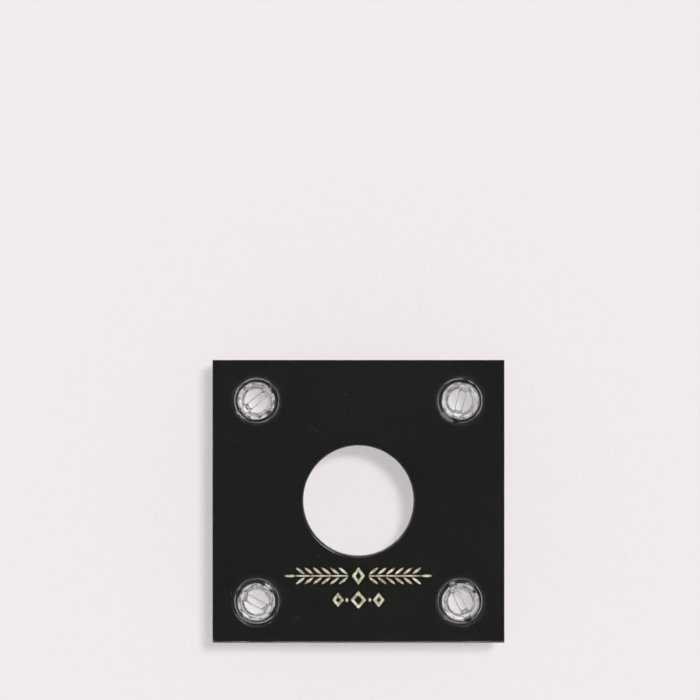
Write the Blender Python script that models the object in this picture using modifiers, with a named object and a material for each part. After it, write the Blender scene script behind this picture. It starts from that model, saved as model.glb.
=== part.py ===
"""Acrylic coin holder, lying flat: a black core between two clear covers, held by four binding screws.

Metres, +Z up and out of the front face, +X across the face, +Y up the face. The origin is below the
middle of the sheets, on the plane that the four post heads stand on.
"""

import math

import bmesh
import bpy
from mathutils import Vector

# Sheets
PLATE_WIDTH = 0.0508
PLATE_HEIGHT = 0.0492
SHEET_THICKNESS = 0.003175
SHEET_GAP = 0.0001
EDGE_CHAMFER = 0.0002

# Coin window in the core, and the corner holes in all three sheets
COIN_DIAMETER = 0.01905
COIN_CLEARANCE = 0.00025
HOLE_INSET_X = 0.00765
HOLE_INSET_Y = 0.0071
HOLE_CLEARANCE = 0.0002

# Low dome heads, the same on screws and posts
HEAD_DIAMETER = 0.0086
HEAD_RIM = 0.0005
HEAD_DOME = 0.0011
HEAD_EDGE_CHAMFER = 0.00015
HEAD_SEAT_GAP = 0.0001
FOOT_DIAMETER = 0.0042

# Posts: a barrel through the sheets with a blind bore
BARREL_DIAMETER = 0.0060
BARREL_SETBACK = 0.0012
BARREL_CHAMFER = 0.00025
BORE_WEB = 0.0020

# Screws
SHANK_DIAMETER = 0.0045
SHANK_CLEARANCE = 0.0002
SHANK_CHAMFER = 0.0005
TIP_CLEARANCE = 0.0010
SLOT_WIDTH = 0.0012
SLOT_DEPTH = 0.0008
SLOT_TURN = math.radians(38.0)

# How finely round shapes are cut
WINDOW_SEGMENTS = 72
HOLE_SEGMENTS = 40
TURN_STEPS = 32
DOME_STEPS = 6
SMOOTH_ANGLE = math.radians(35.0)
MERGE_DISTANCE = 0.000002
CUT_MARGIN = 0.001

# Levels of the stack, from the plane that the posts stand on
DOME_RADIUS = ((HEAD_DIAMETER / 2) ** 2 + HEAD_DOME**2) / (2 * HEAD_DOME)
FOOT_DROP = DOME_RADIUS - math.sqrt(DOME_RADIUS**2 - (FOOT_DIAMETER / 2) ** 2)
POST_SEAT = HEAD_RIM + HEAD_DOME - FOOT_DROP
BACK_BOTTOM = POST_SEAT + HEAD_SEAT_GAP
CORE_BOTTOM = BACK_BOTTOM + SHEET_THICKNESS + SHEET_GAP
FRONT_BOTTOM = CORE_BOTTOM + SHEET_THICKNESS + SHEET_GAP
FRONT_TOP = FRONT_BOTTOM + SHEET_THICKNESS
SCREW_SEAT = FRONT_TOP + HEAD_SEAT_GAP
BARREL_TOP = FRONT_TOP - BARREL_SETBACK
BORE_FLOOR = POST_SEAT + BORE_WEB
SCREW_TIP = BORE_FLOOR + TIP_CLEARANCE

WINDOW_DIAMETER = COIN_DIAMETER + COIN_CLEARANCE
HOLE_DIAMETER = BARREL_DIAMETER + HOLE_CLEARANCE
BORE_DIAMETER = SHANK_DIAMETER + SHANK_CLEARANCE

BLACK_ACRYLIC = ((0.015, 0.015, 0.014, 1.0), 0.22, 0.0)
CLEAR_ACRYLIC = ((0.90, 0.92, 0.92, 1.0), 0.06, 0.95)
CLEAR_PLASTIC = ((0.86, 0.87, 0.87, 1.0), 0.12, 0.9)


def clear_scene():
    for old in list(bpy.data.objects):
        bpy.data.objects.remove(old, do_unlink=True)


def new_collection(name):
    collection = bpy.data.collections.new(name)
    bpy.context.scene.collection.children.link(collection)
    return collection


def add_object(name, mesh, collection, location=(0.0, 0.0, 0.0)):
    made = bpy.data.objects.new(name, mesh)
    made.location = location
    collection.objects.link(made)
    return made


def add_material(name, look):
    colour, roughness, clearness = look
    material = bpy.data.materials.new(name)
    material.use_nodes = True
    shader = material.node_tree.nodes["Principled BSDF"]
    shader.inputs["Base Color"].default_value = colour
    shader.inputs["Roughness"].default_value = roughness
    shader.inputs["Metallic"].default_value = 0.0
    shader.inputs["Transmission Weight"].default_value = clearness
    material.diffuse_color = colour
    return material


def hole_centres():
    """The corner holes' centres, from the upper left one clockwise as the front face is seen."""
    x = PLATE_WIDTH / 2 - HOLE_INSET_X
    y = PLATE_HEIGHT / 2 - HOLE_INSET_Y
    return [(-x, y), (x, y), (x, -y), (-x, -y)]


def profile_mesh(name, points):
    """A chain of edges through (radius, height) points, ready to be turned about Z."""
    mesh = bpy.data.meshes.new(name)
    chain = [(radius, 0.0, height) for radius, height in points]
    mesh.from_pydata(chain, [(i, i + 1) for i in range(len(chain) - 1)], [])
    return mesh


def turned(name, points, steps, collection, location):
    made = add_object(name, profile_mesh(name, points), collection, location)
    screw = made.modifiers.new("Turn", "SCREW")
    screw.axis = "Z"
    screw.angle = math.tau
    screw.steps = steps
    screw.render_steps = steps
    screw.use_merge_vertices = True
    screw.merge_threshold = MERGE_DISTANCE
    screw.use_smooth_shade = True
    return made


def as_cutter(cutter):
    cutter.hide_render = True
    cutter.display_type = "WIRE"
    return cutter


def cut(target, cutter):
    boolean = target.modifiers.new("Cut " + cutter.name, "BOOLEAN")
    boolean.operation = "DIFFERENCE"
    boolean.solver = "EXACT"
    boolean.object = cutter


def smooth_by_angle(target):
    """Bakes the modifiers into the mesh and shades its round faces smooth."""
    graph = bpy.context.evaluated_depsgraph_get()
    baked = bpy.data.meshes.new_from_object(target.evaluated_get(graph))
    target.modifiers.clear()
    target.data = baked
    baked.shade_smooth()
    baked.set_sharp_from_angle(angle=SMOOTH_ANGLE)


def sheet_hole_cutter(name, centre, diameter, bottom, segments, collection):
    """A cutter for a hole through one sheet, flared at both faces by the edge chamfer."""
    radius = diameter / 2
    flare = radius + EDGE_CHAMFER + CUT_MARGIN
    top = bottom + SHEET_THICKNESS
    points = [
        (0.0, top + CUT_MARGIN),
        (flare, top + CUT_MARGIN),
        (radius, top - EDGE_CHAMFER),
        (radius, bottom + EDGE_CHAMFER),
        (flare, bottom - CUT_MARGIN),
        (0.0, bottom - CUT_MARGIN),
    ]
    return as_cutter(turned(name, points, segments, collection, (*centre, 0.0)))


def add_sheet(name, bottom, material, parts, cutters, window=False):
    """One square-cut sheet with broken edges, its four corner holes and, in the core, the coin window."""
    mesh = bpy.data.meshes.new(name)
    block = bmesh.new()
    bmesh.ops.create_cube(block, size=1.0)
    bmesh.ops.scale(block, vec=Vector((PLATE_WIDTH, PLATE_HEIGHT, SHEET_THICKNESS)), verts=block.verts)
    bmesh.ops.translate(block, vec=Vector((0.0, 0.0, bottom + SHEET_THICKNESS / 2)), verts=block.verts)
    block.to_mesh(mesh)
    block.free()
    sheet = add_object(name, mesh, parts)
    sheet.data.materials.append(material)
    bevel = sheet.modifiers.new("Broken edges", "BEVEL")
    bevel.width = EDGE_CHAMFER
    bevel.segments = 1
    for number, centre in enumerate(hole_centres(), start=1):
        label = f"{name}_hole_cutter_{number}"
        cut(sheet, sheet_hole_cutter(label, centre, HOLE_DIAMETER, bottom, HOLE_SEGMENTS, cutters))
    if window:
        label = name + "_window_cutter"
        cut(sheet, sheet_hole_cutter(label, (0.0, 0.0), WINDOW_DIAMETER, bottom, WINDOW_SEGMENTS, cutters))
    return sheet


def dome_height(radius):
    """How far the dome rises above the head's rim at a radius."""
    return math.sqrt(DOME_RADIUS**2 - radius**2) - (DOME_RADIUS - HEAD_DOME)


def dome_profile(inner):
    """(radius, rise above the rim) points along the dome, from the inner radius out to the rim."""
    reach = HEAD_DIAMETER / 2 - inner
    radii = [inner + reach * step / DOME_STEPS for step in range(DOME_STEPS + 1)]
    return [(radius, dome_height(radius)) for radius in radii]


def add_screw(number, centre, material, parts, cutters):
    """A slotted dome head on the front face with its shank down in the post. Heights are from its seat."""
    head = HEAD_DIAMETER / 2
    shank = SHANK_DIAMETER / 2
    tip = SCREW_TIP - SCREW_SEAT
    points = [(radius, HEAD_RIM + rise) for radius, rise in dome_profile(0.0)]
    points += [
        (head, HEAD_EDGE_CHAMFER),
        (head - HEAD_EDGE_CHAMFER, 0.0),
        (shank, 0.0),
        (shank, tip + SHANK_CHAMFER),
        (shank - SHANK_CHAMFER, tip),
        (0.0, tip),
    ]
    place = (*centre, SCREW_SEAT)
    screw = turned(f"screw_{number}", points, TURN_STEPS, parts, place)
    screw.data.materials.append(material)

    mesh = bpy.data.meshes.new(f"screw_{number}_slot_cutter")
    block = bmesh.new()
    bmesh.ops.create_cube(block, size=1.0)
    slot_top = HEAD_RIM + HEAD_DOME + CUT_MARGIN
    slot_floor = HEAD_RIM + HEAD_DOME - SLOT_DEPTH
    size = Vector((HEAD_DIAMETER + CUT_MARGIN, SLOT_WIDTH, slot_top - slot_floor))
    bmesh.ops.scale(block, vec=size, verts=block.verts)
    bmesh.ops.translate(block, vec=Vector((0.0, 0.0, (slot_top + slot_floor) / 2)), verts=block.verts)
    block.to_mesh(mesh)
    block.free()
    slot = as_cutter(add_object(mesh.name, mesh, cutters))
    slot.rotation_euler.z = SLOT_TURN * number
    slot.parent = screw
    cut(screw, slot)
    return screw


def add_post(number, centre, material, parts):
    """A plain dome head to stand on and a barrel bored from its front end. Heights are from its seat."""
    head = HEAD_DIAMETER / 2
    barrel = BARREL_DIAMETER / 2
    bore = BORE_DIAMETER / 2
    floor = BORE_FLOOR - POST_SEAT
    top = BARREL_TOP - POST_SEAT
    points = [
        (0.0, floor),
        (bore, floor),
        (bore, top - BARREL_CHAMFER),
        (bore + BARREL_CHAMFER / 2, top),
        (barrel - BARREL_CHAMFER, top),
        (barrel, top - BARREL_CHAMFER),
        (barrel, 0.0),
        (head - HEAD_EDGE_CHAMFER, 0.0),
        (head, -HEAD_EDGE_CHAMFER),
    ]
    dome = dome_profile(FOOT_DIAMETER / 2)
    points += [(radius, -HEAD_RIM - rise) for radius, rise in reversed(dome)]
    points.append((0.0, -POST_SEAT))
    post = turned(f"post_{number}", points, TURN_STEPS, parts, (*centre, POST_SEAT))
    post.data.materials.append(material)
    return post


def build():
    clear_scene()
    parts = new_collection("acrylic_coin_holder")
    cutters = new_collection("cutters")
    black = add_material("black acrylic", BLACK_ACRYLIC)
    clear = add_material("clear acrylic", CLEAR_ACRYLIC)
    moulded = add_material("clear moulded plastic", CLEAR_PLASTIC)

    core = add_sheet("core_plate", CORE_BOTTOM, black, parts, cutters, window=True)
    front = add_sheet("front_cover", FRONT_BOTTOM, clear, parts, cutters)
    back = add_sheet("back_cover", BACK_BOTTOM, clear, parts, cutters)
    # Each sheet lifts off the one below it, with the screws on the front cover and the posts in the back one
    core.parent = back
    front.parent = core
    made = [core, front, back]
    for number, centre in enumerate(hole_centres(), start=1):
        screw = add_screw(number, centre, moulded, parts, cutters)
        screw.parent = front
        post = add_post(number, centre, moulded, parts)
        post.parent = back
        made += [screw, post]
    for piece in made:
        smooth_by_angle(piece)


build()
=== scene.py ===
import math

import bmesh
import bpy
from mathutils import Matrix, Vector


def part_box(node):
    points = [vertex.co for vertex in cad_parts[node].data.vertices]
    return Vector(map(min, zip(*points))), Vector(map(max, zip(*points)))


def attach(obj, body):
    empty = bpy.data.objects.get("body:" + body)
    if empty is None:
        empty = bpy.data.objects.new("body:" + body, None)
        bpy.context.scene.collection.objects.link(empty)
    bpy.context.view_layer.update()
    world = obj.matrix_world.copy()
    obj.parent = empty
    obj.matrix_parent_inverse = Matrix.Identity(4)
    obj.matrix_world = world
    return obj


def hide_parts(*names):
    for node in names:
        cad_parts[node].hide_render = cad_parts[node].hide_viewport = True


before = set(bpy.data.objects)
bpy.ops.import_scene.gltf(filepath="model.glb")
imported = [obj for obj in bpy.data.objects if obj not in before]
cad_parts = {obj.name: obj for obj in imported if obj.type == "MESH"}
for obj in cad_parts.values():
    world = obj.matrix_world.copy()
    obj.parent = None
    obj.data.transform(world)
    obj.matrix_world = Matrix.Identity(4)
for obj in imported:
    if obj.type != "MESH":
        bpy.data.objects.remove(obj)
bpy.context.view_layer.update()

MM = 0.001

# Where the black plate lies in the photograph, in its 700 x 700 pixels
PHOTO_PIXELS = 700
PLATE_LEFT_PX = 212.7
PLATE_RIGHT_PX = 503.1
PLATE_TOP_PX = 359.6
PLATE_BOTTOM_PX = 640.6
CAMERA_DISTANCE = 600 * MM
CAMERA_CLIP_START = 1 * MM
SENSOR_WIDTH = 36.0

# Edges that turn by more than this are shaded sharp
CREASE_ANGLE = math.radians(40.0)

# Sheets: the same outlines as their solids, with smooth rounds on every edge
SHEET_EDGE_ROUND = 0.1 * MM
WINDOW_EDGE_ROUND = 0.4 * MM
FLAT_STRIP = 0.05 * MM
SHEET_ROUND_STEPS = 4
HOLE_STEPS = 96
WINDOW_STEPS = 192
SHEET_BODIES = {"core_plate": "core", "front_cover": "front_cover", "back_cover": "back_cover"}

# Fasteners: the same sizes as their solids, with threads cut in
FASTENERS = (1, 2, 3, 4)
HEAD_RIM = 0.5 * MM
HEAD_DOME = 1.1 * MM
HEAD_EDGE_ROUND = 0.15 * MM
HEAD_SEAT_GAP = 0.1 * MM
FOOT_RADIUS = 2.1 * MM
BARREL_RADIUS = 3.0 * MM
BARREL_CHAMFER = 0.25 * MM
BARREL_STRIP = 0.1 * MM
BORE_WEB = 2.0 * MM
BORE_CORNER = 0.05 * MM
SHANK_RADIUS = 2.25 * MM
SHANK_CHAMFER = 0.5 * MM
SHANK_NECK = 0.9 * MM
SHANK_COLLAR = 0.05 * MM
THREAD_PITCH = 0.8 * MM
THREAD_DEPTH = 0.4 * MM
THREAD_CLEARANCE = 0.1 * MM
THREAD_FADE = 0.6 * MM
# Above 0.5, the thread's crests and roots are flat
THREAD_SWING = 0.8
SLOT_WIDTH = 1.2 * MM
SLOT_DEPTH = 0.8 * MM
SLOT_CORNER = 0.12 * MM
SLOT_LIP = 0.12 * MM
SLOT_FLARE = 1.0 * MM
SLOT_TURN = math.radians(38.0)
SLOT_STEPS = 40
SMALL_ROUND_STEPS = 3
DOME_STEPS = 12
TURN_STEPS = 64
ROWS_PER_PITCH = 10

# Foil ornament on the front of the core: two leafy sprigs, and a short row of lozenges under them
FOIL_THICKNESS = 0.03 * MM
FOIL_SINK = 0.01 * MM
SPRIG_LEVEL = -13.1 * MM
SPRIG_START = 1.85 * MM
SPRIG_END = 12.95 * MM
STEM_WIDTH = 0.25 * MM
LEAF_LENGTH = 2.0 * MM
LEAF_WIDTH = 0.44 * MM
LEAF_PAIRS = 6
LEAF_TILT = math.radians(37.0)
LEAF_GAP = 0.12 * MM
LEAF_STEPS = 8
# Below 1, the leaves are fuller towards their ends
LEAF_TAPER = 0.85
MIDDLE_LOZENGE = (2.2 * MM, 3.1 * MM)
LOZENGE_LEVEL = -17.3 * MM
LOZENGE_STROKE = 0.46 * MM
# Across the row: place, width and height, with the solid ones marked
LOZENGES = (
    (0.0, 2.7 * MM, 3.1 * MM, False),
    (2.0 * MM, 0.6 * MM, 0.8 * MM, True),
    (-2.0 * MM, 0.6 * MM, 0.8 * MM, True),
    (3.55 * MM, 2.0 * MM, 2.5 * MM, False),
    (-3.55 * MM, 2.0 * MM, 2.5 * MM, False),
)

# In the looks below, a grain is a count to the metre, and tones and the like are (level, value) stops
NOISE_MIDDLE = 0.5

# Refraction of acrylic, taken for the fasteners too
ACRYLIC_IOR = 1.49

# Cut edges of the sheets: they lie less level than the faces, and their walls have upright lines
FACE_LEVEL = 0.97
CUT_GRAIN = (6000.0, 6000.0, 120.0)
CUT_FADE = ((0.2, 1.0), (0.6, 0.0))
CUT_DEPTH = 0.03 * MM

# Black acrylic
BLACK_FACE_GRAIN = (60.0, 60.0, 60.0)
BLACK_FACE_TONES = ((0.35, (0.0104, 0.0109, 0.0102)), (0.65, (0.0123, 0.0122, 0.0110)))
BLACK_EDGE_TONES = ((0.35, (0.015, 0.015, 0.0145)), (0.68, (0.023, 0.023, 0.022)))
BLACK_EDGE_ROUGHNESS = ((0.35, 0.22), (0.68, 0.31))
BLACK_EDGE_BUMP = 0.20

# Marks on its face: dust, as specks in a share of a grid's cells, and scratches
MARK_COLOUR = (0.07, 0.07, 0.065, 1.0)
DUST_CELLS = 420.0
DUST_SHARE = 0.09
DUST_LEAST = 0.35
DUST_SPOT = ((0.0, 1.0), (0.025, 0.9), (0.055, 0.0))
# The angle in degrees and the seed of each set
SCRATCHES = ((34.0, 1.0), (-52.0, 3.0))
SCRATCH_STRENGTH = 0.05
SCRATCH_GRAIN = (110.0, 3000.0, 1.0)
SCRATCH_LINES = ((0.70, 0.0), (0.77, 1.0))
SCRATCH_PATCH_GRAIN = (70.0, 110.0, 1.0)
SCRATCH_PATCHES = ((0.52, 0.0), (0.66, 1.0))
SCRATCH_PATCH_SEED = 7.0
SCRATCH_ROUGHNESS = ((0.0, 0.10), (1.0, 0.30))

# Clear acrylic
CLEAR_TINT = (0.998, 1.0, 0.999, 1.0)
CLEAR_GLINT = (0.06, 0.06, 0.06, 1.0)
CLEAR_WIPE_GRAIN = (300.0, 2100.0, 1.0)
CLEAR_WIPE_ROUGHNESS = ((0.35, 0.0), (0.75, 0.035))
CLEAR_EDGE_ROUGHNESS = ((0.3, 0.03), (0.7, 0.12))
CLEAR_EDGE_BUMP = 0.12

# Clear plastic of the fasteners
PLASTIC_TINT = (0.996, 1.0, 0.998, 1.0)
PLASTIC_GLINT = (0.35, 0.35, 0.35, 1.0)
PLASTIC_GRAIN = (700.0, 700.0, 420.0)
PLASTIC_HAZE = ((0.35, 0.02), (0.75, 0.075))
PLASTIC_BUMP = 0.08
PLASTIC_WAVE = 0.05 * MM

# Gold foil
GOLD_GRAIN = (2600.0, 2600.0, 2600.0)
GOLD_GRAIN_DEPTH = 0.02 * MM
GOLD_PATCH_GRAIN = (900.0, 900.0, 900.0)
GOLD_TONES = ((0.12, (0.13, 0.113, 0.065)), (0.24, (0.41, 0.384, 0.266)), (0.42, (0.685, 0.662, 0.545)))
GOLD_ROUGHNESS = ((0.3, 0.45), (0.7, 0.62))
GOLD_METALLIC = 0.4
GOLD_BUMP = 0.35

# Floor
FLOOR_SIZE = 4.0
FLOOR_GRAIN = (900.0, 900.0, 900.0)
FLOOR_TONES = ((0.3, (0.808, 0.773, 0.768)), (0.7, (0.822, 0.787, 0.782)))
FLOOR_ROUGHNESS = 0.85
FLOOR_SPECULAR = 0.2

# Light: a key that casts the shadow, a wide fill that casts none, and the room around
KEY_TOWARDS = (0.285, 0.285, 1.0)
KEY_SPREAD = math.radians(13.0)
KEY_STRENGTH = 1.17
FILL_TOWARDS = (-0.60, 0.60, 1.0)
FILL_SPREAD = math.radians(60.0)
FILL_STRENGTH = 2.38
# From the horizon, which has the floor's tone, over pale walls to a dark ceiling
ROOM_GLOW = (
    (0.0, (0.858, 0.823, 0.817)),
    (0.22, 0.80),
    (0.42, 0.11),
    (0.92, 0.10),
    (0.965, 0.015),
    (1.0, 0.015),
)
LIGHT_BOUNCES = 24
STRAIGHT_PASSES = 48

# A Mix node has one set of sockets for each kind of value: these are its colours
MIX_COLOUR_A = 6
MIX_COLOUR_B = 7
MIX_COLOUR_RESULT = 2


# Shader nodes

def new_material(name):
    material = bpy.data.materials.new(name)
    material.use_nodes = True
    tree = material.node_tree
    return material, tree, tree.nodes["Principled BSDF"]


def node(tree, kind, **settings):
    """A shader node. A setting named like a socket sets that socket, and any other is a property."""
    made = tree.nodes.new(kind)
    for key, value in settings.items():
        label = key.replace("_", " ").title()
        if label in made.inputs:
            made.inputs[label].default_value = value
        else:
            setattr(made, key, value)
    return made


def ramp(tree, source, stops):
    """A colour ramp over (position, grey or colour) stops, fed from a socket."""
    made = tree.nodes.new("ShaderNodeValToRGB")
    elements = made.color_ramp.elements
    while len(elements) < len(stops):
        elements.new(0.5)
    for element, (place, tone) in zip(elements, stops):
        element.position = place
        element.color = (tone, tone, tone, 1.0) if isinstance(tone, float) else (*tone, 1.0)
    tree.links.new(source, made.inputs["Fac"])
    return made.outputs["Color"]


def stretched_noise(tree, places, grain, detail=2.0, seed=0.0):
    """Noise whose grains are drawn out along the axes with few of them. A seed moves it elsewhere."""
    mapping = tree.nodes.new("ShaderNodeMapping")
    mapping.inputs["Scale"].default_value = grain
    mapping.inputs["Location"].default_value = (seed, seed, seed)
    tree.links.new(places, mapping.inputs["Vector"])
    noise = node(tree, "ShaderNodeTexNoise", scale=1.0, detail=detail)
    tree.links.new(mapping.outputs["Vector"], noise.inputs["Vector"])
    return noise.outputs["Fac"]


def maths(tree, operation, a, b):
    """A Math node on two values, each a socket or a number."""
    made = node(tree, "ShaderNodeMath", operation=operation)
    for socket, value in zip(made.inputs, (a, b)):
        if isinstance(value, (int, float)):
            socket.default_value = value
        else:
            tree.links.new(value, socket)
    return made.outputs["Value"]


def blend_colour(tree, share, colour, other):
    """A linked colour going over to another, linked or fixed, as share goes from 0 to 1."""
    mix = node(tree, "ShaderNodeMix", data_type="RGBA")
    tree.links.new(share, mix.inputs["Factor"])
    tree.links.new(colour, mix.inputs[MIX_COLOUR_A])
    if isinstance(other, tuple):
        mix.inputs[MIX_COLOUR_B].default_value = other
    else:
        tree.links.new(other, mix.inputs[MIX_COLOUR_B])
    return mix.outputs[MIX_COLOUR_RESULT]


def add_bump(tree, shader, height, strength, distance):
    bump = node(tree, "ShaderNodeBump", strength=strength, distance=distance)
    tree.links.new(height, bump.inputs["Height"])
    tree.links.new(bump.outputs["Normal"], shader.inputs["Normal"])


def object_coordinates(tree):
    return tree.nodes.new("ShaderNodeTexCoord").outputs["Object"]


def rotated(tree, places, degrees):
    """The same places, turned about Z."""
    mapping = tree.nodes.new("ShaderNodeMapping")
    mapping.inputs["Rotation"].default_value = (0.0, 0.0, math.radians(degrees))
    tree.links.new(places, mapping.inputs["Vector"])
    return mapping.outputs["Vector"]


# Materials

def flatness(tree):
    """1 where a sheet lies flat and 0 where it stands upright."""
    geometry = tree.nodes.new("ShaderNodeNewGeometry")
    split = tree.nodes.new("ShaderNodeSeparateXYZ")
    tree.links.new(geometry.outputs["Normal"], split.inputs["Vector"])
    return maths(tree, "ABSOLUTE", split.outputs["Z"], 0.0)


def edge_share(tree):
    """1 on the cut edges of a flat sheet and 0 on its two faces."""
    return maths(tree, "LESS_THAN", flatness(tree), FACE_LEVEL)


def cutting_lines(tree, places):
    """Fine upright lines, as a saw or a laser leaves on a sheet's walls. They fade out on rounds."""
    lines = stretched_noise(tree, places, CUT_GRAIN)
    walls = ramp(tree, flatness(tree), CUT_FADE)
    ripple = maths(tree, "MULTIPLY", maths(tree, "SUBTRACT", lines, NOISE_MIDDLE), walls)
    return maths(tree, "ADD", ripple, NOISE_MIDDLE)


def dust_specks(tree, places):
    """1 on a few fine specks, scattered one to a cell over some of the cells."""
    cells = node(tree, "ShaderNodeTexVoronoi", voronoi_dimensions="2D", scale=DUST_CELLS)
    tree.links.new(places, cells.inputs["Vector"])
    split = tree.nodes.new("ShaderNodeSeparateColor")
    tree.links.new(cells.outputs["Color"], split.inputs["Color"])
    chosen = maths(tree, "LESS_THAN", split.outputs["Red"], DUST_SHARE)
    size = maths(tree, "ADD", split.outputs["Blue"], DUST_LEAST)
    spread = maths(tree, "DIVIDE", cells.outputs["Distance"], size)
    brightness = maths(tree, "MULTIPLY", chosen, split.outputs["Green"])
    return maths(tree, "MULTIPLY", ramp(tree, spread, DUST_SPOT), brightness)


def hairlines(tree, places, degrees, seed):
    """1 along a few long thin scratches that run one way."""
    turned = rotated(tree, places, degrees)
    lines = stretched_noise(tree, turned, SCRATCH_GRAIN, detail=1.0, seed=seed)
    patch_seed = seed + SCRATCH_PATCH_SEED
    patches = stretched_noise(tree, turned, SCRATCH_PATCH_GRAIN, detail=1.0, seed=patch_seed)
    thin = ramp(tree, lines, SCRATCH_LINES)
    return maths(tree, "MULTIPLY", thin, ramp(tree, patches, SCRATCH_PATCHES))


def black_acrylic():
    """Polished black sheet with dust, hairline scratches, and duller edges with cutting lines."""
    material, tree, shader = new_material("black_acrylic")
    places = object_coordinates(tree)
    edges = edge_share(tree)
    lines = cutting_lines(tree, places)
    scratches = maths(tree, "MAXIMUM", *[hairlines(tree, places, *way) for way in SCRATCHES])
    faint = maths(tree, "MULTIPLY", scratches, SCRATCH_STRENGTH)
    marks = maths(tree, "MAXIMUM", dust_specks(tree, places), faint)
    face = ramp(tree, stretched_noise(tree, places, BLACK_FACE_GRAIN), BLACK_FACE_TONES)
    marked = blend_colour(tree, marks, face, MARK_COLOUR)
    cut = ramp(tree, lines, BLACK_EDGE_TONES)
    tree.links.new(blend_colour(tree, edges, marked, cut), shader.inputs["Base Color"])
    worn = ramp(tree, scratches, SCRATCH_ROUGHNESS)
    matt = maths(tree, "MULTIPLY", edges, ramp(tree, lines, BLACK_EDGE_ROUGHNESS))
    tree.links.new(maths(tree, "MAXIMUM", worn, matt), shader.inputs["Roughness"])
    shader.inputs["IOR"].default_value = ACRYLIC_IOR
    add_bump(tree, shader, maths(tree, "MULTIPLY", edges, lines), BLACK_EDGE_BUMP, CUT_DEPTH)
    return material


def make_clear(tree, shader, tint, glint):
    """Turns a shader into clear plastic with a tint and a strength of reflection.

    Shadow and diffuse rays go straight on through it, so that what lies behind is lit once and evenly.
    """
    shader.inputs["Base Color"].default_value = tint
    shader.inputs["Specular Tint"].default_value = glint
    shader.inputs["Transmission Weight"].default_value = 1.0
    shader.inputs["IOR"].default_value = ACRYLIC_IOR
    path = tree.nodes.new("ShaderNodeLightPath")
    clear = tree.nodes.new("ShaderNodeBsdfTransparent")
    surface = shader.outputs["BSDF"]
    for ray in ("Is Shadow Ray", "Is Diffuse Ray"):
        mix = tree.nodes.new("ShaderNodeMixShader")
        tree.links.new(path.outputs[ray], mix.inputs["Fac"])
        tree.links.new(surface, mix.inputs[1])
        tree.links.new(clear.outputs["BSDF"], mix.inputs[2])
        surface = mix.outputs["Shader"]
    tree.links.new(surface, tree.nodes["Material Output"].inputs["Surface"])


def clear_acrylic():
    """Clear sheet: polished faces with faint wipe marks, and polished edges with cutting lines."""
    material, tree, shader = new_material("clear_acrylic")
    places = object_coordinates(tree)
    edges = edge_share(tree)
    lines = cutting_lines(tree, places)
    wipes = stretched_noise(tree, places, CLEAR_WIPE_GRAIN, detail=3.0)
    faces = maths(tree, "SUBTRACT", 1.0, edges)
    wiped = maths(tree, "MULTIPLY", faces, ramp(tree, wipes, CLEAR_WIPE_ROUGHNESS))
    cut = maths(tree, "MULTIPLY", edges, ramp(tree, lines, CLEAR_EDGE_ROUGHNESS))
    tree.links.new(maths(tree, "ADD", wiped, cut), shader.inputs["Roughness"])
    add_bump(tree, shader, maths(tree, "MULTIPLY", edges, lines), CLEAR_EDGE_BUMP, CUT_DEPTH)
    make_clear(tree, shader, CLEAR_TINT, CLEAR_GLINT)
    return material


def clear_plastic():
    """Moulded clear plastic: a little waviness and a thin haze."""
    material, tree, shader = new_material("clear_plastic")
    flow = stretched_noise(tree, object_coordinates(tree), PLASTIC_GRAIN)
    tree.links.new(ramp(tree, flow, PLASTIC_HAZE), shader.inputs["Roughness"])
    add_bump(tree, shader, flow, PLASTIC_BUMP, PLASTIC_WAVE)
    make_clear(tree, shader, PLASTIC_TINT, PLASTIC_GLINT)
    return material


def gold_foil():
    """Hot-stamped foil: pale gold, grainy, thin in places."""
    material, tree, shader = new_material("gold_foil")
    places = object_coordinates(tree)
    grain = stretched_noise(tree, places, GOLD_GRAIN, detail=3.0)
    worn = maths(tree, "MULTIPLY", grain, stretched_noise(tree, places, GOLD_PATCH_GRAIN))
    tree.links.new(ramp(tree, worn, GOLD_TONES), shader.inputs["Base Color"])
    tree.links.new(ramp(tree, grain, GOLD_ROUGHNESS), shader.inputs["Roughness"])
    add_bump(tree, shader, grain, GOLD_BUMP, GOLD_GRAIN_DEPTH)
    shader.inputs["Metallic"].default_value = GOLD_METALLIC
    return material


def pale_floor():
    material, tree, shader = new_material("pale_floor")
    grain = stretched_noise(tree, object_coordinates(tree), FLOOR_GRAIN, detail=3.0)
    tree.links.new(ramp(tree, grain, FLOOR_TONES), shader.inputs["Base Color"])
    shader.inputs["Roughness"].default_value = FLOOR_ROUGHNESS
    shader.inputs["Specular IOR Level"].default_value = FLOOR_SPECULAR
    return material


# Meshes

def mesh_data(mesh, name):
    """A finished bmesh as mesh data, with its faces looking outwards."""
    bmesh.ops.recalc_face_normals(mesh, faces=mesh.faces)
    data = bpy.data.meshes.new(name)
    mesh.to_mesh(data)
    mesh.free()
    return data


def link_object(name, data):
    made = bpy.data.objects.new(name, data)
    bpy.context.scene.collection.objects.link(made)
    return made


def link_piece(name, data, material):
    data.materials.append(material)
    return link_object(name, data)


def shade(piece):
    """Smooth shading, apart from the sharp edges."""
    piece.data.shade_smooth()
    piece.data.set_sharp_from_angle(angle=CREASE_ANGLE)


def edge_round(radius, height, inward, downward, steps=SMALL_ROUND_STEPS):
    """(radius, height) points of a small quarter round, from its top to its bottom."""
    points = []
    for i in range(steps + 1):
        angle = math.pi / 2 * i / steps
        points.append((radius - inward * (1 - math.cos(angle)), height - downward * math.sin(angle)))
    return points


def fastener_axis(number):
    low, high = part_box(f"screw_{number}")
    return Vector(((low.x + high.x) / 2, (low.y + high.y) / 2))


# Sheets

def bore_radius(name, axis):
    """How far the wall of a hole stands from its axis in a CAD sheet."""
    return min((vertex.co.xy - axis).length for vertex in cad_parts[name].data.vertices)


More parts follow.
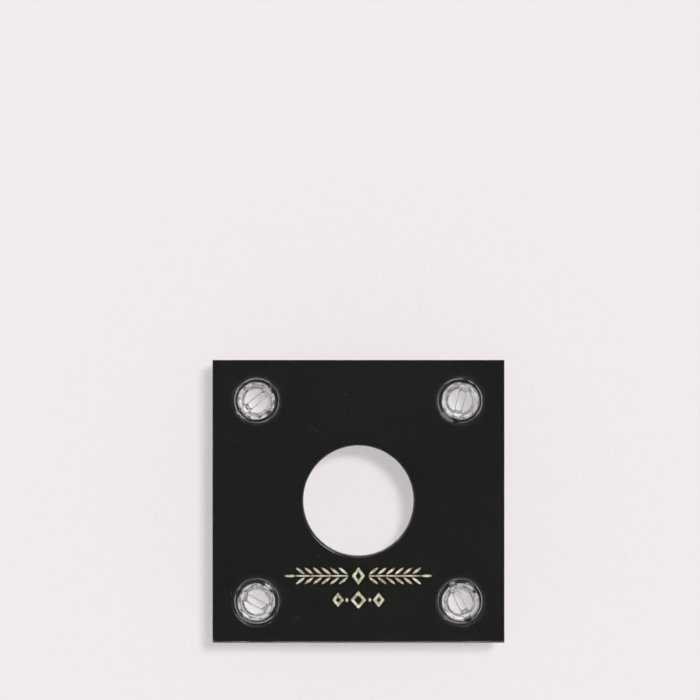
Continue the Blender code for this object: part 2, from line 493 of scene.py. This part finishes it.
def circle(centre, radius, steps):
    """A hole's outline, as a function of how far the material's edge is drawn back."""
    turns = [math.tau * step / steps for step in range(steps)]
    spokes = [Vector((math.cos(turn), math.sin(turn))) for turn in turns]
    return lambda inset: [centre + spoke * (radius + inset) for spoke in spokes]


def rectangle(low, high):
    """A sheet's outline, as a function of how far the material's edge is drawn back."""
    corners = (
        (low.x, low.y, 1, 1),
        (high.x, low.y, -1, 1),
        (high.x, high.y, -1, -1),
        (low.x, high.y, 1, -1),
    )
    return lambda inset: [Vector((x + right * inset, y + up * inset)) for x, y, right, up in corners]


def add_wall(mesh, outline, bottom, top, edge):
    """A wall along an outline, rounded at both faces. Returns the rims that the two faces start from.

    A narrow flat strip on each side of a round keeps its shading off the wall and the faces.
    """
    lower_round = edge_round(0.0, bottom + edge, -edge, edge, SHEET_ROUND_STEPS)
    upper_round = edge_round(0.0, top - edge, -edge, -edge, SHEET_ROUND_STEPS)
    reach = edge + FLAT_STRIP
    lower = [(reach, bottom), *reversed(lower_round), (0.0, bottom + reach)]
    upper = [(0.0, top - reach), *upper_round, (reach, top)]
    rows = []
    for inset, height in lower + upper:
        rows.append([mesh.verts.new((*point, height)) for point in outline(inset)])
    for row, above in zip(rows, rows[1:]):
        for i in range(len(row)):
            mesh.faces.new((row[i - 1], row[i], above[i], above[i - 1]))
    rims = []
    for row in (rows[0], rows[-1]):
        rims.append([mesh.edges.get((row[i - 1], row[i])) for i in range(len(row))])
    return rims


def add_sheet(name, material, window=False):
    """One sheet with its four corner holes and, in the core, the coin window."""
    low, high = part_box(name)
    outlines = [(rectangle(low, high), SHEET_EDGE_ROUND)]
    for number in FASTENERS:
        axis = fastener_axis(number)
        outlines.append((circle(axis, bore_radius(name, axis), HOLE_STEPS), SHEET_EDGE_ROUND))
    if window:
        middle = Vector((0.0, 0.0))
        outlines.append((circle(middle, bore_radius(name, middle), WINDOW_STEPS), WINDOW_EDGE_ROUND))
    mesh = bmesh.new()
    rims = [add_wall(mesh, outline, low.z, high.z, edge) for outline, edge in outlines]
    for face_rims in zip(*rims):
        edges = [edge for rim in face_rims for edge in rim]
        bmesh.ops.triangle_fill(mesh, use_beauty=True, edges=edges)
    piece = link_piece(f"{name}_polished", mesh_data(mesh, f"{name}_polished"), material)
    shade(piece)
    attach(piece, SHEET_BODIES[name])
    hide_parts(name)


# Fasteners

class Lathe:
    """Builds a closed turned mesh from rings, whose radius may change round the turn."""

    def __init__(self):
        self.mesh = bmesh.new()
        self.last = None

    def pole(self, height):
        """A point on the axis, to start or to close the shape."""
        self.join([self.mesh.verts.new((0.0, 0.0, height))])

    def ring(self, radius, height):
        """radius is a number, or a function of the angle."""
        reach = radius if callable(radius) else (lambda angle: radius)
        points = []
        for step in range(TURN_STEPS):
            angle = math.tau * step / TURN_STEPS
            r = reach(angle)
            points.append(self.mesh.verts.new((r * math.cos(angle), r * math.sin(angle), height)))
        self.join(points)

    def join(self, points):
        """Faces from the last ring or pole to this one."""
        before, self.last = self.last, points
        if before is None:
            return
        for step in range(TURN_STEPS):
            corner = (step + 1) % TURN_STEPS
            if len(before) == 1:
                self.mesh.faces.new((before[0], points[step], points[corner]))
            elif len(points) == 1:
                self.mesh.faces.new((before[corner], before[step], points[0]))
            else:
                self.mesh.faces.new((before[corner], before[step], points[step], points[corner]))


def thread_height(angle, height):
    """0 at the root of a right-hand thread and 1 at its crest."""
    turn = height / THREAD_PITCH - angle / math.tau
    return min(1.0, max(0.0, 0.5 + THREAD_SWING * math.cos(math.tau * turn)))


def fade(height, end):
    """How fully the thread is cut at a height below its upper end."""
    return min(1.0, max(0.0, (end - height) / THREAD_FADE))


def thread_rows(low, high):
    """Heights of a thread's rings."""
    count = max(1, round((high - low) / THREAD_PITCH * ROWS_PER_PITCH))
    return [low + (high - low) * i / count for i in range(count + 1)]


def dome_rise(head, radius):
    """How far a low dome stands above its rim at a radius."""
    sphere = (head**2 + HEAD_DOME**2) / (2 * HEAD_DOME)
    return math.sqrt(sphere**2 - radius**2) - (sphere - HEAD_DOME)


def dome_rings(head, inner):
    """(radius, rise above the rim) along a low dome, from the inner radius out to the rim."""
    radii = [inner + (head - inner) * i / DOME_STEPS for i in range(DOME_STEPS + 1)]
    return [(radius, dome_rise(head, radius)) for radius in radii]


def screw_mesh(number):
    """Head, neck and threaded shank of one screw on the Z axis, with the head's radius and top."""
    low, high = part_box(f"screw_{number}")
    head = (high.x - low.x) / 2
    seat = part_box("front_cover")[1].z + HEAD_SEAT_GAP
    top = seat + HEAD_RIM + HEAD_DOME
    tip = low.z
    turned = Lathe()
    turned.pole(top)
    for radius, rise in dome_rings(head, 0.0)[1:]:
        turned.ring(radius, seat + HEAD_RIM + rise)
    for radius, height in edge_round(head, seat + HEAD_EDGE_ROUND, HEAD_EDGE_ROUND, HEAD_EDGE_ROUND):
        turned.ring(radius, height)
    turned.ring(SHANK_RADIUS, seat)
    for height in reversed(thread_rows(tip, seat - SHANK_COLLAR)):
        cut = fade(height, seat - SHANK_NECK)
        cone = SHANK_RADIUS - SHANK_CHAMFER + height - tip

        def reach(angle, height=height, cut=cut, cone=cone):
            return min(cone, SHANK_RADIUS - THREAD_DEPTH * cut * (1 - thread_height(angle, height)))

        turned.ring(reach, height)
    turned.pole(tip)
    return mesh_data(turned.mesh, f"screw_{number}_threaded"), head, top


def post_mesh(number):
    """Threaded bore, barrel and head of one post on the Z axis."""
    low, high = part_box(f"post_{number}")
    head = (high.x - low.x) / 2
    foot, top = low.z, high.z
    dome = dome_rings(head, FOOT_RADIUS)
    seat = foot + HEAD_RIM + dome[0][1]
    bore_floor = seat + BORE_WEB
    bore = SHANK_RADIUS + THREAD_CLEARANCE
    turned = Lathe()
    turned.pole(bore_floor)
    turned.ring(bore - THREAD_DEPTH, bore_floor)
    for height in thread_rows(bore_floor + BORE_CORNER, top - BARREL_CHAMFER):

        def reach(angle, height=height):
            return bore - THREAD_DEPTH * (1 - thread_height(angle, height))

        turned.ring(reach, height)
    turned.ring(bore + BARREL_CHAMFER / 2, top)
    turned.ring(BARREL_RADIUS - BARREL_CHAMFER, top)
    turned.ring(BARREL_RADIUS, top - BARREL_CHAMFER)
    turned.ring(BARREL_RADIUS, seat + BARREL_STRIP)
    turned.ring(BARREL_RADIUS, seat)
    rim = edge_round(head, seat - HEAD_EDGE_ROUND, HEAD_EDGE_ROUND, -HEAD_EDGE_ROUND)
    for radius, height in reversed(rim):
        turned.ring(radius, height)
    for radius, rise in reversed(dome):
        turned.ring(radius, seat - HEAD_RIM - rise)
    turned.pole(foot)
    return mesh_data(turned.mesh, f"post_{number}_threaded")


def slot_section(floor, lip):
    """(across, height) points round the slot: a floor with round corners, walls, and flared lips."""
    half = SLOT_WIDTH / 2
    corner = edge_round(half, floor + SLOT_CORNER, SLOT_CORNER, SLOT_CORNER)
    right = [*reversed(corner), (half, lip), (half + SLOT_FLARE, lip + SLOT_FLARE)]
    left = [(-across, height) for across, height in reversed(right)]
    return right + left


def slot_cutter(name, head, top):
    """A block that cuts the slot, with lips that follow the dome at a small depth below it."""
    floor = top - SLOT_DEPTH
    block = bmesh.new()
    sections = []
    for step in range(SLOT_STEPS + 1):
        along = (head + SLOT_FLARE) * (2 * step / SLOT_STEPS - 1)
        edge = min(head, math.hypot(along, SLOT_WIDTH / 2))
        lip = max(top - HEAD_DOME + dome_rise(head, edge) - SLOT_LIP, floor + SLOT_CORNER)
        points = slot_section(floor, lip)
        sections.append([block.verts.new((along, across, height)) for across, height in points])
    for one, other in zip(sections, sections[1:]):
        for i in range(len(one)):
            block.faces.new((one[i - 1], one[i], other[i], other[i - 1]))
    block.faces.new(sections[0])
    block.faces.new(sections[-1])
    return link_object(name, mesh_data(block, name))


def cut_slot(piece, cutter):
    """Takes the cutter out of the piece for good, and removes it."""
    cut = piece.modifiers.new("Slot", "BOOLEAN")
    cut.operation = "DIFFERENCE"
    cut.object = cutter
    graph = bpy.context.evaluated_depsgraph_get()
    data = bpy.data.meshes.new_from_object(piece.evaluated_get(graph))
    piece.modifiers.clear()
    piece.data = data
    bpy.data.objects.remove(cutter, do_unlink=True)


def turn_and_place(data, number):
    """Turns a fastener to its slot's angle, so that both threads match, and puts it on its axis."""
    place = Matrix.Translation(fastener_axis(number).to_3d())
    data.transform(place @ Matrix.Rotation(SLOT_TURN * number, 4, "Z"))


def add_screw(number, material):
    data, head, top = screw_mesh(number)
    piece = link_piece(f"screw_{number}_threaded", data, material)
    cut_slot(piece, slot_cutter(f"slot_cutter_{number}", head, top))
    turn_and_place(piece.data, number)
    shade(piece)
    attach(piece, f"screw_{number}")
    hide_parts(f"screw_{number}")


def add_post(number, material):
    piece = link_piece(f"post_{number}_threaded", post_mesh(number), material)
    turn_and_place(piece.data, number)
    shade(piece)
    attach(piece, f"post_{number}")
    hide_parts(f"post_{number}")


# Foil ornament

def leaf_outline(root, tilt):
    """A pointed leaf from its root, as a loop of points."""
    along = Vector((math.cos(tilt), math.sin(tilt)))
    across = Vector((-along.y, along.x))
    points = []
    for side in (1, -1):
        span = range(LEAF_STEPS + 1) if side == 1 else range(LEAF_STEPS - 1, 0, -1)
        for i in span:
            t = i / LEAF_STEPS
            half = LEAF_WIDTH / 2 * math.sin(math.pi * t) ** LEAF_TAPER
            points.append(root + along * (LEAF_LENGTH * t) + across * (side * half))
    return points


def lozenge_outline(centre, width, height):
    corners = ((width / 2, 0.0), (0.0, height / 2), (-width / 2, 0.0), (0.0, -height / 2))
    return [centre + Vector(corner) for corner in corners]


def add_foil_shape(mesh, outline, bottom, top):
    """A thin plate of foil with this outline."""
    lower = [mesh.verts.new((point.x, point.y, bottom)) for point in outline]
    upper = [mesh.verts.new((point.x, point.y, top)) for point in outline]
    mesh.faces.new(list(reversed(lower)))
    mesh.faces.new(upper)
    for i in range(len(outline)):
        j = (i + 1) % len(outline)
        mesh.faces.new((lower[i], lower[j], upper[j], upper[i]))


def add_lozenge_frame(mesh, centre, width, height, bottom, top):
    """An open lozenge, as four mitred strokes."""
    outer = lozenge_outline(centre, width, height)
    share = 1 - 2 * LOZENGE_STROKE * math.hypot(width, height) / (width * height)
    inner = lozenge_outline(centre, width * share, height * share)
    for i in range(len(outer)):
        j = (i + 1) % len(outer)
        add_foil_shape(mesh, [outer[i], outer[j], inner[j], inner[i]], bottom, top)


def add_sprig(mesh, side, bottom, top):
    """A straight stem with pairs of leaves and one at its tip, to the right (1) or the left (-1)."""
    stem_end = SPRIG_END - LEAF_LENGTH - LEAF_GAP
    pitch = (stem_end - SPRIG_START) / LEAF_PAIRS
    leaves = [(stem_end + LEAF_GAP, 0.0, 0.0)]
    for pair in range(LEAF_PAIRS):
        for lift in (1, -1):
            rise = lift * (STEM_WIDTH / 2 + LEAF_GAP)
            leaves.append((SPRIG_START + pair * pitch, rise, lift * LEAF_TILT))
    for along, rise, tilt in leaves:
        root = Vector((side * along, SPRIG_LEVEL + rise))
        turned = tilt if side == 1 else math.pi - tilt
        add_foil_shape(mesh, leaf_outline(root, turned), bottom, top)
    half = STEM_WIDTH / 2
    ends = ((SPRIG_START, -half), (stem_end, -half), (stem_end, half), (SPRIG_START, half))
    stem = [Vector((side * along, SPRIG_LEVEL + rise)) for along, rise in ends]
    add_foil_shape(mesh, stem, bottom, top)


def add_ornament(material):
    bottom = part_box("core_plate")[1].z - FOIL_SINK
    top = bottom + FOIL_SINK + FOIL_THICKNESS
    mesh = bmesh.new()
    add_lozenge_frame(mesh, Vector((0.0, SPRIG_LEVEL)), *MIDDLE_LOZENGE, bottom, top)
    for side in (1, -1):
        add_sprig(mesh, side, bottom, top)
    for across, width, height, solid in LOZENGES:
        centre = Vector((across, LOZENGE_LEVEL))
        if solid:
            add_foil_shape(mesh, lozenge_outline(centre, width, height), bottom, top)
        else:
            add_lozenge_frame(mesh, centre, width, height, bottom, top)
    piece = link_piece("foil_ornament", mesh_data(mesh, "foil_ornament"), material)
    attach(piece, "core")


# Stage

def add_floor():
    bpy.ops.mesh.primitive_plane_add(size=FLOOR_SIZE, location=(0.0, 0.0, 0.0))
    floor = bpy.context.object
    floor.name = "floor"
    floor.data.materials.append(pale_floor())


def add_sun(name, towards, spread, strength, shadow):
    """A far lamp in one direction. It isn't seen in reflections, which show only the room around."""
    lamp = bpy.data.lights.new(name, "SUN")
    lamp.angle = spread
    lamp.energy = strength
    lamp.use_shadow = shadow
    lamp.cycles.use_multiple_importance_sampling = shadow
    made = link_object(name, lamp)
    made.rotation_euler = (-Vector(towards)).to_track_quat("-Z", "Y").to_euler()
    made.visible_glossy = False


def add_world():
    """A pale room with a dark ceiling above the holder, so that the black face isn't washed out."""
    world = bpy.data.worlds.new("studio")
    bpy.context.scene.world = world
    world.use_nodes = True
    tree = world.node_tree
    split = tree.nodes.new("ShaderNodeSeparateXYZ")
    places = tree.nodes.new("ShaderNodeTexCoord")
    tree.links.new(places.outputs["Generated"], split.inputs["Vector"])
    glow = ramp(tree, split.outputs["Z"], ROOM_GLOW)
    tree.links.new(glow, tree.nodes["Background"].inputs["Color"])


def add_camera():
    """Looks straight down, with the core where the plate lies in the photograph."""
    low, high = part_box("core_plate")
    metres = (high.x - low.x) / (PLATE_RIGHT_PX - PLATE_LEFT_PX)
    centre_px = (PHOTO_PIXELS - 1) / 2
    across = centre_px - (PLATE_LEFT_PX + PLATE_RIGHT_PX) / 2
    up = (PLATE_TOP_PX + PLATE_BOTTOM_PX) / 2 - centre_px
    data = bpy.data.cameras.new("camera")
    data.sensor_width = SENSOR_WIDTH
    data.lens = SENSOR_WIDTH * CAMERA_DISTANCE / (PHOTO_PIXELS * metres)
    data.clip_start = CAMERA_CLIP_START
    camera = link_object("camera", data)
    camera.location = (across * metres, up * metres, high.z + CAMERA_DISTANCE)
    bpy.context.scene.camera = camera


def set_look():
    """Plain tones, and enough bounces for light to get through every clear piece."""
    scene = bpy.context.scene
    scene.view_settings.view_transform = "Standard"
    scene.cycles.use_denoising = True
    scene.cycles.max_bounces = LIGHT_BOUNCES
    scene.cycles.transmission_bounces = LIGHT_BOUNCES
    scene.cycles.transparent_max_bounces = STRAIGHT_PASSES


clear_sheet = clear_acrylic()
add_sheet("core_plate", black_acrylic(), window=True)
add_sheet("front_cover", clear_sheet)
add_sheet("back_cover", clear_sheet)
moulded = clear_plastic()
for number in FASTENERS:
    add_screw(number, moulded)
    add_post(number, moulded)
add_ornament(gold_foil())
add_floor()
add_world()
add_sun("key", KEY_TOWARDS, KEY_SPREAD, KEY_STRENGTH, shadow=True)
add_sun("fill", FILL_TOWARDS, FILL_SPREAD, FILL_STRENGTH, shadow=False)
add_camera()
set_look()
